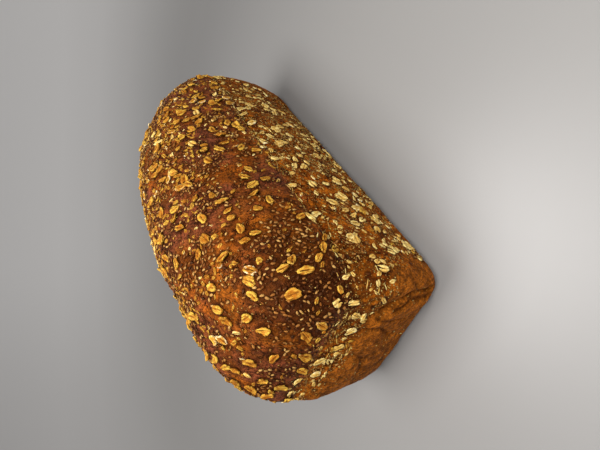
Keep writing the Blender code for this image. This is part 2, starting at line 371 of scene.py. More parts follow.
def flake_cover(spots):
    """How thickly the flakes lie, from 0 to 1: clustered, with bare dough at the ends and corners."""
    x, y, z = spots.T
    walls = 1.0 - smooth_step(CREASE_HEIGHT - 0.004, CREASE_HEIGHT + 0.008, z)
    clumps = smooth_step(-0.28, 0.22, noise_at(spots, 0.026, 3.0))
    cover = (0.42 + 0.26 * walls + 0.22 * smooth_step(-0.05, 0.06, x)) * (0.20 + 0.80 * clumps)
    end = np.abs(x) / (BASE_LENGTH / 2)
    bare_end = smooth_step(0.93, 0.98, end) * (1.0 - smooth_step(0.050, 0.058, z + 0.15 * y * np.sign(x)))
    low = 1.0 - smooth_step(0.03, 0.06, z)
    bare_corner = low * smooth_step(0.83, 0.92, end + 0.003 / np.maximum(z, 0.01))
    under = 1.0 - smooth_step(0.006, 0.012, z)
    return cover * (1.0 - bare_end) * (1.0 - 0.9 * bare_corner) * (1.0 - under)


def flake_seats(mesh):
    """Where each flake lies: its place, direction outwards, turn, length and width."""
    draw = np.random.default_rng(FLAKE_SEED)
    spots, normals = random_spots(mesh, FLAKE_TRIES, draw)
    lucky = draw.random(FLAKE_TRIES) < flake_cover(spots)
    taken = np.empty((0, 3))
    seats = []
    for spot, normal in zip(spots[lucky], normals[lucky]):
        if len(seats) == FLAKE_COUNT:
            break
        if len(taken) and np.linalg.norm(taken - spot, axis=1).min() < FLAKE_GAP:
            continue
        taken = np.vstack([taken, spot])
        length = draw.uniform(*FLAKE_LENGTHS)
        seats.append((spot, normal, draw.uniform(0.0, math.pi), length, length * draw.uniform(*FLAKE_SHAPES)))
    return seats


def fine_box():
    """Points and faces of the box cut into fine cells, with its base as a fan of triangles."""
    lines = [np.concatenate([[-1.0], cuts(n), [1.0]]) for n in FINE_CELLS]
    points, quads, count = [], [], 0
    for fixed, place, order in ((1, -1.0, 1), (1, 1.0, -1), (0, -1.0, -1), (0, 1.0, 1), (2, 1.0, 1)):
        first, second = [axis for axis in range(3) if axis != fixed]
        u, v = np.meshgrid(lines[first], lines[second], indexing="ij")
        sheet = np.empty(u.shape + (3,))
        sheet[..., fixed], sheet[..., first], sheet[..., second] = place, u, v
        index = count + np.arange(u.size).reshape(u.shape)
        quad = np.stack([index[:-1, :-1], index[1:, :-1], index[1:, 1:], index[:-1, 1:]], axis=-1)
        quads.append(quad.reshape(-1, 4)[:, ::order])
        points.append(sheet.reshape(-1, 3))
        count += u.size
    points = np.concatenate(points)
    _, kept, index = np.unique(np.round(points, 7), axis=0, return_index=True, return_inverse=True)
    return points[kept], index.reshape(-1)[np.concatenate(quads)]


def face_normals(points, quads):
    """The direction outwards of each face, as long as its area is large."""
    a, b, c, d = (points[quads[:, i]] for i in range(4))
    return np.cross(c - a, d - b)


def vertex_normals(points, quads):
    """The direction outwards at each point."""
    normals = np.zeros_like(points)
    for i in range(4):
        np.add.at(normals, quads[:, i], face_normals(points, quads))
    return unit(normals)


def fine_crust():
    """The crust's points, directions outwards and faces, with all its relief."""
    box, quads = fine_box()
    points = loaf_points(box)
    normals = vertex_normals(points, quads)
    points = points + normals * crust_relief(points)[:, None]
    normals = vertex_normals(points, quads)
    walls = 1.0 - smooth_step(CREASE_HEIGHT - 0.002, CREASE_HEIGHT + 0.006, points[:, 2])
    grain = np.zeros(len(points))
    for share, layers in ((1.0 - walls, DOME_GRAIN), (walls, WALL_GRAIN)):
        for tall, size in layers:
            grain += share * tall * noise_at(points, size, 11.0)
    # The relief's height from -1 to 1, for the painted shade in its hollows and light on its lumps
    mark = grain / np.abs(grain).max()
    fold = fold_relief(points, FINE_FOLDS)
    above_crease, sharp = crease(points)
    tall, size = FINE_WANDER
    above_crease += tall * noise_at(points, size, 19.0)
    long_side = 1.0 - smooth_step(0.80, 0.95, np.abs(points[:, 0]) / (BASE_LENGTH / 2))
    fold -= FINE_CREASE_DEPTH * (0.25 + 0.75 * sharp) * long_side * bell(above_crease, FINE_CREASE_BAND)
    low = smooth_step(RELIEF_START, RELIEF_FULL, points[:, 2])
    return points + normals * ((grain + fold) * low)[:, None], normals, quads, mark, fold / fold.min()


def make_object(name, points, faces):
    """A smooth mesh object with these points and faces, which are rows of 3 or 4 corners."""
    mesh = bpy.data.meshes.new(name)
    mesh.from_pydata(points.tolist(), [], faces if isinstance(faces, list) else faces.tolist())
    mesh.validate()
    mesh.shade_smooth()
    piece = bpy.data.objects.new(name, mesh)
    bpy.context.scene.collection.objects.link(piece)
    return piece


def set_attribute(piece, name, values):
    """Stores one number for each of the piece's points, for its material to read."""
    layer = piece.data.attributes.new(name, "FLOAT", "POINT")
    layer.data.foreach_set("value", np.asarray(values, dtype=np.float32))


class Crust:
    """The fine crust, as something to lay things on."""

    def __init__(self):
        self.points, self.normals, self.quads, self.relief, self.fold = fine_crust()
        self.area = np.linalg.norm(face_normals(self.points, self.quads), axis=1)
        self.tree = BVHTree.FromPolygons(self.points.tolist(), self.quads.tolist())

    def spots(self, count, draw, cover):
        """Random places on the crust, with as many where cover is high, and the directions outwards."""
        found, outward = np.empty((0, 3)), np.empty((0, 3))
        while len(found) < count:
            chosen = draw.choice(len(self.area), size=4 * count, p=self.area / self.area.sum())
            u, v = draw.random((2, 4 * count, 1))
            corners = self.quads[chosen]
            shares = ((1 - u) * (1 - v), u * (1 - v), u * v, (1 - u) * v)
            place = sum(share * self.points[corners[:, i]] for i, share in enumerate(shares))
            normal = sum(share * self.normals[corners[:, i]] for i, share in enumerate(shares))
            lucky = draw.random(4 * count) < cover(place)
            found = np.concatenate([found, place[lucky]])
            outward = np.concatenate([outward, normal[lucky]])
        return found, unit(outward)

    def settle(self, places):
        """The nearest points of the crust."""
        return np.array([self.tree.find_nearest(Vector(p))[0] for p in places])


class Room:
    """Keeps things from lying closer together than they should."""

    def __init__(self, cell):
        self.cell = cell
        self.held = {}

    def take(self, place, radius):
        """True if a thing of this radius has room here, which it then takes."""
        x, y, z = (math.floor(c / self.cell) for c in place)
        for i, j, k in np.ndindex(3, 3, 3):
            for other, reach in self.held.get((x + i - 1, y + j - 1, z + k - 1), ()):
                if np.sum((other - place) ** 2) < (radius + reach) ** 2:
                    return False
        self.held.setdefault((x, y, z), []).append((place, radius))
        return True


def frames(normals, turns, tilts=None):
    """For each thing, its length, width and height directions, turned about the direction outwards."""
    helper = np.where(np.abs(normals[:, 2:]) < 0.9, (0.0, 0.0, 1.0), (1.0, 0.0, 0.0))
    first = unit(np.cross(helper, normals))
    second = np.cross(normals, first)
    along = np.cos(turns)[:, None] * first + np.sin(turns)[:, None] * second
    up = normals if tilts is None else unit(normals + np.tan(tilts)[:, None] * along)
    across = unit(np.cross(up, along))
    return np.stack([np.cross(across, up), across, up], axis=2)


def lay(templates, places, axes, sizes, draw):
    """Copies of the template shapes joined into one: points, faces, template values and thing numbers."""
    points, faces, values, numbers, count = [], [], [], [], 0
    kinds = draw.integers(0, len(templates), len(places))
    for kind, (shape, corners, marks) in enumerate(templates):
        mine = np.where(kinds == kind)[0]
        scaled = shape[None] * sizes[mine][:, None]
        placed = np.einsum("nij,nvj->nvi", axes[mine], scaled) + places[mine][:, None]
        points.append(placed.reshape(-1, 3))
        offset = count + len(shape) * np.arange(len(mine))
        faces.append((corners[None] + offset[:, None, None]).reshape(-1, corners.shape[1]))
        values.append(np.tile(marks, (len(mine), 1)))
        numbers.append(np.repeat(mine, len(shape)))
        count += len(mine) * len(shape)
    return [np.concatenate(rows) for rows in (points, faces, values, numbers)]


def wave(angle, draw, strengths):
    """A closed random wave round a circle, one strength for each number of turns."""
    total = np.zeros_like(angle)
    for turns, strength in enumerate(strengths, start=1):
        total += strength * np.cos(turns * angle + draw.uniform(0.0, 2.0 * math.pi))
    return total


# Sides and rings of a flake and of a broken bit, the rings under them, and waves of rim and curl
FLAKE_SHAPE = (20, (0.30, 0.58, 0.82, 1.0))
BIT_SHAPE = (9, (0.55, 1.0))
UNDER_RINGS = (0.97, 0.55)
RIM_WAVES = (0.04, 0.05, 0.05, 0.04, 0.04, 0.03, 0.03)
CURL_WAVES = (0.6, 0.5, 0.4)


def ring_faces(sides, rings):
    """Triangles between rings of points, and from the first and last ring to the two points after all."""
    faces = []
    last = (rings - 1) * sides
    for i in range(sides):
        j = (i + 1) % sides
        for start in range(0, last, sides):
            a, b = start + i, start + j
            faces += [(a, a + sides, b), (b, a + sides, b + sides)]
        faces += [(last + sides, i, j), (last + sides + 1, last + j, last + i)]
    return np.array(faces)


def flake_template(draw, curl, shape=FLAKE_SHAPE, ragged=1.0):
    """One rolled oat, 1 long, 1 wide and 1 high: a shallow cup with a crease and a ragged, curled rim."""
    sides, rings = shape
    angle = np.linspace(0.0, 2.0 * math.pi, sides, endpoint=False)
    edge = 0.5 * (1.0 + ragged * wave(angle, draw, RIM_WAVES))
    for _ in range(2):
        bite = (angle - draw.uniform(0.0, 2.0 * math.pi) + math.pi) % (2.0 * math.pi) - math.pi
        edge *= 1.0 - ragged * draw.uniform(0.0, 0.32) * bell(bite, draw.uniform(0.18, 0.45))
    lift = np.maximum(wave(angle, draw, CURL_WAVES), -0.15) * curl
    bend = draw.uniform(-0.10, 0.10)
    side = draw.uniform(-0.09, 0.09)
    deep = draw.uniform(0.15, 0.60)
    wide = draw.uniform(0.045, 0.080)
    cup = draw.uniform(-0.05, 0.35)
    points, marks = [], []
    under = UNDER_RINGS[: len(rings) // 2]
    for layer, ring in [(1.0, ring) for ring in rings] + [(0.0, ring) for ring in under]:
        x = ring * edge * np.cos(angle)
        y = ring * edge * np.sin(angle) + bend * (4.0 * x * x - 0.3)
        crease = bell(y - side - 0.1 * x, wide) * (1.0 - smooth_step(0.25, 0.46, np.abs(x)))
        height = 0.55 - deep * crease + 0.16 * bell(np.abs(y - side) - 0.20, 0.10)
        height += cup * (ring**2 - 0.6) - 0.22 * ring**8
        z = layer * height + lift * ring**3 - (1.0 - layer) * 0.35
        points.append(np.stack([x, y, z], axis=1))
        # The third mark is 1 on the upper face and 0 underneath, for the painted shade under the flake
        marks.append(np.stack([np.full_like(x, ring), crease, np.full_like(x, layer), x, y], axis=1))
    count = len(points)
    top = 0.55 - 0.6 * cup - deep * bell(-0.3 * bend - side, wide)
    points = np.concatenate(points + [np.array([[0.0, -0.3 * bend, top], [0.0, 0.0, -0.35]])])
    marks = np.concatenate(marks + [np.array([[0.0, 0.6, 1.0, 0.0, 0.0], [0.0, 0.0, 0.0, 0.0, 0.0]])])
    return points, ring_faces(sides, count), marks


def round_template(draw, sides, rings, taper, rough):
    """A grain, 1 long, 1 wide and 1 high: an oval with one end narrower and an uneven skin."""
    angle = np.linspace(0.0, 2.0 * math.pi, sides, endpoint=False)
    points = []
    for step in range(1, rings + 1):
        slide = math.pi * step / (rings + 1)
        x = -0.5 * math.cos(slide)
        wide = 0.5 * math.sin(slide) * (1.0 - taper * x)
        bumps = 1.0 + rough * draw.uniform(-1.0, 1.0, sides)
        jog = rough * 0.25 * draw.uniform(-1.0, 1.0, sides)
        points.append(np.stack([x + jog, wide * bumps * np.cos(angle), wide * bumps * np.sin(angle)], axis=1))
    points = np.concatenate(points + [np.array([[-0.5, 0.0, 0.0], [0.5, 0.0, 0.0]])])
    marks = np.zeros((len(points), 5))
    marks[:, 0] = np.abs(points[:, 0]) * 2.0
    # Lighter towards the upper side, for the painted shade on the underside
    marks[:, 2] = smooth_step(-0.05, 0.45, points[:, 2])
    marks[:, 3:] = points[:, :2]
    return points, ring_faces(sides, rings)[:, ::-1], marks


# The tint of all gloss, and how far apart in the noise things lie whose tones are 0 and 1
WARM_GLINT = (1.0, 0.72, 0.42, 1.0)
TONE_SPREAD = 91.0


class Shader:
    """A material with a Principled shader, and short ways to add its nodes."""

    def __init__(self, name, roughness, specular):
        self.material = bpy.data.materials.new(name)
        self.material.use_nodes = True
        self.tree = self.material.node_tree
        self.tree.nodes.clear()
        own = {"Roughness": roughness, "Specular IOR Level": specular, "Specular Tint": WARM_GLINT}
        self.principled = self.add("ShaderNodeBsdfPrincipled", own)
        self.add("ShaderNodeOutputMaterial", {"Surface": self.principled.outputs["BSDF"]})
        self.place = self.tree.nodes.new("ShaderNodeTexCoord").outputs["Object"]

    def fill(self, node, inputs):
        """The node, once each input named has its number or colour, or its link to an output."""
        for name, value in inputs.items():
            if isinstance(value, bpy.types.NodeSocket):
                self.tree.links.new(value, node.inputs[name])
            else:
                node.inputs[name].default_value = value
        return node

    def add(self, kind, inputs):
        return self.fill(self.tree.nodes.new(kind), inputs)

    def attribute(self, name):
        """The number that the mesh stores under this name."""
        node = self.tree.nodes.new("ShaderNodeAttribute")
        node.attribute_name = name
        return node.outputs["Fac"]

    def noise(self, size, detail=2.0, roughness=0.5, place=None):
        """Noise from 0 to 1 with lumps of this size, in metres or in the units of the place given."""
        inputs = {"Scale": 1.0 / size, "Detail": detail, "Roughness": roughness}
        inputs["Vector"] = self.place if place is None else place
        return self.add("ShaderNodeTexNoise", inputs).outputs["Fac"]

    def stretched(self, scales):
        """The place on the loaf, with each axis scaled."""
        return self.add("ShaderNodeMapping", {"Vector": self.place, "Scale": scales}).outputs["Vector"]

    def cells(self, size):
        """Distance from the middle of random cells of this size."""
        inputs = {"Vector": self.place, "Scale": 1.0 / size}
        return self.add("ShaderNodeTexVoronoi", inputs).outputs["Distance"]

    def ramp(self, value, low, high, start=0.0, end=1.0):
        """The value's rise from low to high, as a number from start to end."""
        node = self.tree.nodes.new("ShaderNodeMapRange")
        node.interpolation_type = "SMOOTHSTEP"
        inputs = {"Value": value, "From Min": low, "From Max": high, "To Min": start, "To Max": end}
        return self.fill(node, inputs).outputs["Result"]

    def math(self, operation, first, second=0.0):
        node = self.tree.nodes.new("ShaderNodeMath")
        node.operation = operation
        return self.fill(node, {0: first, 1: second}).outputs["Value"]

    def times(self, first, second):
        return self.math("MULTIPLY", first, second)

    def mix(self, share, first, second, blend="MIX"):
        """The first colour with this share of the second one."""
        node = self.tree.nodes.new("ShaderNodeMix")
        node.data_type = "RGBA"
        node.blend_type = blend
        return self.fill(node, {"Factor": share, "A": first, "B": second}).outputs["Result"]

    def shaded(self, colour, brightness):
        """The colour times this brightness."""
        inputs = {"Red": brightness, "Green": brightness, "Blue": brightness}
        grey = self.add("ShaderNodeCombineColor", inputs)
        return self.mix(1.0, colour, grey.outputs["Color"], "MULTIPLY")

    def own_place(self, along, across, tone):
        """A place in a thing's own coordinates, and far from those of things of another tone."""
        inputs = {"X": along, "Y": across, "Z": self.times(tone, TONE_SPREAD)}
        return self.add("ShaderNodeCombineXYZ", inputs).outputs["Vector"]

    def bump(self, height, distance, strength=1.0, under=None):
        """The surface's direction with this relief, on top of another one if it is given."""
        inputs = {"Strength": strength, "Distance": distance, "Height": height}
        if under is not None:
            inputs["Normal"] = under
        return self.add("ShaderNodeBump", inputs).outputs["Normal"]

    def finish(self, inputs):
        """The material, once its shader has these inputs."""
        self.fill(self.principled, inputs)
        return self.material


def colour(red, green, blue):
    """A colour given as 0 to 255 on a screen, as the linear one that a shader takes."""
    linear = [c / 3294.6 if c < 10.3 else ((c / 255 + 0.055) / 1.055) ** 2.4 for c in (red, green, blue)]
    return (*linear, 1.0)


# Colours of the crust, as a screen shows them
CHESTNUT = colour(139, 70, 14)
# Painted sheen: plum patches stand for the dome's gloss reflecting the grey surroundings
PLUM_SHEEN = colour(118, 60, 34)
ORANGE_BROWN = colour(164, 92, 20)
WALL_BROWN = colour(176, 96, 16)
WALL_DARK = colour(130, 60, 8)
WALL_GOLD = colour(212, 146, 50)
END_BROWN = colour(166, 94, 24)
END_DARK = colour(142, 76, 18)
# Burnt crust, and painted shade in the dented corners
BURNT_AND_SHADE_DARK = colour(46, 20, 6)
# Painted shade round flakes and seeds and in the creases, also the colour of the dark specks and wrinkle
# lines
CREASE_DARK = colour(46, 14, 1)

# Colours of what lies on it
OAT_GOLD = colour(222, 177, 70)
OAT_ORANGE = colour(170, 102, 24)
OAT_BROWN = colour(88, 42, 10)
OAT_PALE = colour(252, 230, 150)
OAT_CREAM = colour(248, 234, 188)
OAT_STRAW = colour(228, 180, 84)
OAT_SHADE = colour(146, 92, 28)
SEED_GOLD = colour(198, 154, 88)
SEED_TAN = colour(166, 112, 54)
SEED_BROWN = colour(120, 68, 24)
SEED_DARK = colour(92, 46, 14)
SEED_UMBER = colour(56, 26, 9)
CHAR_BROWN = colour(58, 23, 5)
CHAR_BLACK = colour(34, 12, 3)
CHAR_RUST = colour(82, 37, 10)

# Colours of the floor: in two tones near the loaf, in its painted pool of light, and painted lighter far off
PAPER_GREY = colour(132, 131, 131)
PAPER_LIGHT = colour(137, 136, 135)
PAPER_POOL = colour(162, 161, 161)
PAPER_FAR = colour(178, 176, 175)
PAPER_GLOW = (1.0, 0.985, 0.97, 1.0)


def crust_material():
    """Baked crust: red-brown patches and plum patches of painted sheen on the dome, streaky walls, and
    painted shade round the flakes and seeds, in the creases, in the relief's hollows and, with burnt crust,
    in the dented corners.
    """
    s = Shader("crust", 0.60, 0.08)
    walls, bare = s.attribute("walls"), s.attribute("bare")

    # Plum patches on the dome: painted sheen
    patches = s.ramp(s.noise(0.030, 3.0, 0.55), 0.38, 0.58)
    orange = s.ramp(s.noise(0.018, 4.0, 0.6), 0.48, 0.68)
    dome = s.mix(patches, CHESTNUT, PLUM_SHEEN)
    dome = s.mix(s.times(orange, 0.42), dome, ORANGE_BROWN)
    mottle = s.ramp(s.noise(0.006, 6.0, 0.7), 0.38, 0.62)
    side = s.mix(mottle, WALL_BROWN, WALL_DARK)
    streaks = s.ramp(s.noise(0.0016, 4.0, 0.65, s.stretched((0.45, 1.0, 1.0))), 0.56, 0.68)
    side = s.mix(s.times(streaks, s.attribute("crumbly")), side, WALL_GOLD)
    end = s.mix(s.ramp(s.noise(0.0050, 8.0, 0.80), 0.36, 0.68), END_BROWN, END_DARK)
    side = s.mix(bare, side, end)
    skin = s.mix(walls, dome, side)

    grain = s.ramp(s.noise(0.0013, 4.0, 0.7), 0.36, 0.64, 0.45, 1.40)
    skin = s.shaded(skin, grain)
    # Painted shade and light: darker in the relief's hollows, lighter on its lumps
    skin = s.shaded(skin, s.ramp(s.attribute("relief"), -0.8, 0.8, 0.45, 1.35))
    # Burnt crust and painted shade in the dented corners
    skin = s.mix(s.times(s.attribute("burnt_and_shade"), 0.95), skin, BURNT_AND_SHADE_DARK)
    # Painted shade round flakes and seeds
    skin = s.mix(s.attribute("contact_shade"), skin, CREASE_DARK)
    # Painted shade in the sharp creases of the end folds and round the loaf
    skin = s.mix(s.attribute("fold"), skin, CREASE_DARK)

    calm = s.ramp(bare, 0.0, 1.0, 1.0, 0.3)
    winding = s.math("ABSOLUTE", s.math("SUBTRACT", s.noise(0.0075, 5.0, 0.6), 0.5))
    here = s.times(s.ramp(s.noise(0.016, 2.0), 0.44, 0.58), calm)
    wrinkles = s.times(s.ramp(winding, 0.004, 0.022, 1.0, 0.0), s.times(here, 0.85))
    skin = s.mix(wrinkles, skin, CREASE_DARK)
    specks = s.ramp(s.cells(0.0028), 0.10, 0.24, 1.0, 0.0)
    speckled = s.ramp(s.noise(0.009, 3.0, 0.6), 0.42, 0.60)
    speckled = s.times(speckled, s.ramp(bare, 0.0, 1.0, 0.9, 0.35))
    skin = s.mix(s.times(specks, speckled), skin, CREASE_DARK)

    fine = s.bump(s.noise(0.0008, 3.0, 0.6), 0.0004, 0.9)
    middle = s.bump(s.noise(0.0022, 5.0, 0.65), 0.0014, 0.9, fine)
    rough = s.bump(s.times(s.noise(0.0060, 3.0, 0.6), calm), 0.0014, 0.6, middle)
    normal = s.bump(wrinkles, -0.0006, 1.0, rough)
    dull = s.ramp(s.noise(0.012, 3.0, 0.6), 0.35, 0.70, 0.36, 0.62)
    dull = s.math("MAXIMUM", dull, s.times(walls, 0.70))
    return s.finish({"Base Color": skin, "Normal": normal, "Roughness": dull})


def flake_material(name, inner, outer, deep, white_from):
    """A rolled oat: dark streaks and crease inside, a bright rim that is partly painted highlight, a pale
    ragged edge on some, and painted shade underneath.
    """
    s = Shader(name, 0.62, 0.14)
    tone, ring = s.attribute("tone"), s.attribute("ring")

    along = s.times(s.attribute("along"), 1.6)
    across = s.times(s.attribute("across"), 9.0)
    streaks = s.noise(1.0, 3.0, 0.6, s.own_place(along, across, tone))
    rough_ring = s.math("ADD", ring, s.ramp(s.noise(0.0022, 3.0), 0.3, 0.7, -0.25, 0.25))
    # Lighter towards the rim, partly the oat's own paler edge and partly a painted highlight on the raised
    # rim; each flake also has its own tone
    light = s.math("ADD", s.ramp(rough_ring, 0.20, 0.85, 0.0, 0.55), s.ramp(tone, 0.0, 1.0, -0.25, 0.45))
    skin = s.mix(s.math("MINIMUM", light, 1.0), inner, outer)
    skin = s.mix(s.ramp(streaks, 0.50, 0.62, 0.0, 0.80), skin, deep)
    skin = s.mix(s.ramp(streaks, 0.36, 0.47, 0.85, 0.0), skin, outer)
    skin = s.mix(s.ramp(s.noise(0.0026, 4.0, 0.65), 0.47, 0.60, 0.0, 0.75), skin, inner)
    skin = s.mix(s.ramp(s.noise(0.0016, 4.0, 0.7), 0.58, 0.68, 0.0, 0.65), skin, deep)
    skin = s.mix(s.times(s.attribute("crease"), 0.85), skin, deep)

    chance = s.math("FRACT", s.times(tone, 7.31))
    white = s.times(s.ramp(ring, 0.55, 0.90), s.ramp(s.noise(0.0018, 4.0, 0.7), 0.50, 0.57))
    skin = s.mix(s.times(white, s.ramp(chance, white_from, 1.0)), skin, OAT_CREAM)
    brown = s.times(s.ramp(ring, 0.70, 1.0), s.ramp(s.noise(0.0026, 3.0), 0.46, 0.56))
    skin = s.mix(s.times(brown, s.ramp(chance, 0.0, white_from, 0.9, 0.0)), skin, deep)
    # Painted shade: much darker underneath
    skin = s.shaded(skin, s.ramp(s.attribute("top"), 0.0, 0.9, 0.12, 1.0))

    lines = s.bump(streaks, 0.00050, 0.8)
    normal = s.bump(s.noise(0.0010, 4.0, 0.65), 0.00040, 0.8, lines)
    return s.finish({"Base Color": skin, "Normal": normal})


def grain_material(name, first, second, third):
    """Small grains, each with its own tone, with painted shade on the underside where they sink into the
    crust.
    """
    s = Shader(name, 0.50, 0.18)
    tone = s.attribute("tone")
    skin = s.mix(s.ramp(tone, 0.0, 0.6), first, second)
    skin = s.mix(s.ramp(tone, 0.6, 1.0), skin, third)
    skin = s.mix(s.times(s.ramp(s.noise(0.0008, 3.0, 0.6), 0.4, 0.7), 0.45), skin, second)
    # Painted shade on the underside, lighter on top
    skin = s.shaded(skin, s.ramp(s.attribute("top"), 0.15, 1.0, 0.25, 1.0))
    return s.finish({"Base Color": skin, "Normal": s.bump(s.noise(0.0006), 0.00015, 0.6)})


# Spots of burnt crust with painted shade in the dented corners: place, radius, how tall for its width, and
# strength
BURNT_AND_SHADED_SPOTS = (
    ((-0.112, -0.038, 0.080), 0.0230, 1.3, 1.0),
    ((-0.094, -0.044, 0.090), 0.0120, 1.0, 0.8),
    ((0.108, 0.042, 0.084), 0.0140, 1.0, 0.6),
)


def zones(points):
    """Shares from 0 to 1 at each point: on the walls, on bare dough, in the spots of burnt crust and painted
    shade, on the crest.
    """
    x, y, z = points.T
    rim = z + 0.004 * noise_at(points, 0.02, 5.0)
    walls = 1.0 - smooth_step(CREASE_HEIGHT - 0.003, CREASE_HEIGHT + 0.007, rim)
    end = np.abs(x) / (BASE_LENGTH / 2)
    edge = z + 0.15 * y * np.sign(x) + 0.006 * noise_at(points, 0.018, 9.0)
    bare_end = smooth_step(0.93, 0.98, end) * (1.0 - smooth_step(0.048, 0.058, edge))
    bare_corner = smooth_step(0.80, 0.92, end) * (1.0 - smooth_step(0.024, 0.044, edge))
    burnt_and_shade = np.zeros(len(points))
    for place, radius, tallness, strength in BURNT_AND_SHADED_SPOTS:
        away = np.linalg.norm((points - np.array(place)) / (1.0, 1.0, tallness), axis=1)
        burnt_and_shade = np.maximum(burnt_and_shade, strength * bell(away, radius))
    crest = smooth_step(0.100, 0.122, z)
    return walls, np.maximum(bare_end, bare_corner), burnt_and_shade, crest


def clusters(points, low, high, size, offset):
    """Random clusters, from 0 between them to 1 inside."""
    return smooth_step(low, high, noise_at(points, size, offset))


def more_flake_cover(points):
    """Where the smaller flakes lie: as the large ones, and more on the far half of the dome."""
    walls, bare, burnt_and_shade, _ = zones(points)
    far = smooth_step(-0.03, 0.05, points[:, 0])
    clumps = clusters(points, -0.20, 0.20, 0.018, 41.0)
    cover = (0.24 + 0.20 * far * (1.0 - walls) - 0.04 * walls) * (0.15 + 0.85 * clumps) * (1.0 - 0.8 * burnt_and_shade)
    return cover * (1.0 - bare) * smooth_step(0.005, 0.012, points[:, 2])


def bit_cover(points):
    """Where broken oats lie: thick on the crest and on the far half of the dome, and some on the walls."""
    walls, bare, _, crest = zones(points)
    far = smooth_step(-0.03, 0.05, points[:, 0])
    clumps = clusters(points, -0.20, 0.25, 0.015, 51.0)
    cover = 0.03 + 0.30 * far * clumps * (1.0 - walls) + 0.30 * crest * clumps + 0.09 * walls * clumps
    return cover * (1.0 - bare) * smooth_step(0.004, 0.010, points[:, 2])


def seed_cover(points):
    """How thickly the seeds lie: dense on the crest and in the spots of burnt crust and painted shade, sparse
    on the walls.
    """
    walls, bare, burnt_and_shade, crest = zones(points)
    lumps = noise_at(points, 0.020, 21.0) + 0.35 * noise_at(points, 0.007, 22.0)
    clumps = smooth_step(-0.06, 0.26, lumps)
    far = smooth_step(-0.06, 0.03, points[:, 0])
    dome = 0.03 + 0.48 * clumps + 0.35 * crest * (0.3 + 0.7 * clumps) + 0.15 * far * clumps + 0.4 * burnt_and_shade
    wall = 0.02 + 0.06 * clumps
    cover = dome * (1.0 - walls) + wall * walls
    return cover * (1.0 - bare) * smooth_step(0.004, 0.012, points[:, 2])


def crumb_cover(points):
    """How thickly the crumbs and bran lie: all over the walls, in bands on the crest."""
    walls, bare, burnt_and_shade, crest = zones(points)
    clumps = clusters(points, -0.20, 0.30, 0.016, 31.0)
    far = smooth_step(-0.04, 0.05, points[:, 0])
    dome = 0.06 + 0.16 * clumps + 0.40 * crest * clumps + 0.16 * far * clumps + 0.25 * burnt_and_shade
    wall = 0.30 + 0.65 * clumps
    cover = dome * (1.0 - walls) + wall * walls
    return cover * (1.0 - 0.93 * bare) * smooth_step(0.002, 0.008, points[:, 2])


def sliver_cover(points):
    """Where thin slivers lie: along the crease of the walls, and sparsely on them."""
    walls, bare, _, _ = zones(points)
    z = points[:, 2]
    along_crease = bell(z - CREASE_HEIGHT - 0.002, 0.0045)
    return (0.8 * along_crease + 0.16 * walls) * (1.0 - bare) * smooth_step(0.005, 0.012, z)


def scatter(crust, cover, count, draw, gap=0.0, room=None):
    """Seats for things of one kind, kept apart if there is a room: places and directions outwards."""
    spots, normals = crust.spots(count * 2, draw, cover)
    kept = []
    for number, spot in enumerate(spots):
        if len(kept) == count:
            break
        if room is None or room.take(spot, gap / 2):
            kept.append(number)
    return spots[kept], normals[kept]


def loose_things(draw, seats, lengths, shapes, height, tilt=None):
    """Places, directions outwards, sizes and axes of things that lie turned at random."""
    places, normals = seats
    count = len(places)
    sizes = np.stack([lengths, lengths * draw.uniform(*shapes, count), lengths * height], axis=1)
    turns = draw.uniform(0.0, 2.0 * math.pi, count)
    tilts = None if tilt is None else draw.normal(0.0, tilt, count)
    return places, normals, sizes, frames(normals, turns, tilts)


# Where the loaf stands, the solid's box that nothing passes, and how low small things may lie
BASE_SHIFT = np.array((*BASE_PLACE, 0.0))
BOX = np.array(solid_box)
LOWEST = 0.0004
MARKS = ("ring", "crease", "top", "along", "across")


def dress(name, templates, things, mine, draw, material, sink):
    """One piece made of those of the things that are mine, with the values that its material reads."""
    places, normals, sizes, axes = (values[mine] for values in things)
    points, faces, values, numbers = lay(templates, places - normals * sink, axes, sizes, draw)
    points = points + BASE_SHIFT
    points[:, 2] = np.maximum(points[:, 2], LOWEST)
    piece = make_object(name, np.clip(points, *BOX), faces)
    for column, mark in enumerate(MARKS):
        set_attribute(piece, mark, values[:, column])
    set_attribute(piece, "tone", draw.random(len(places))[numbers])
    piece.data.materials.append(material)
    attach(piece, "root")


def joined(first, second):
    return [np.concatenate(pair) for pair in zip(first, second)]


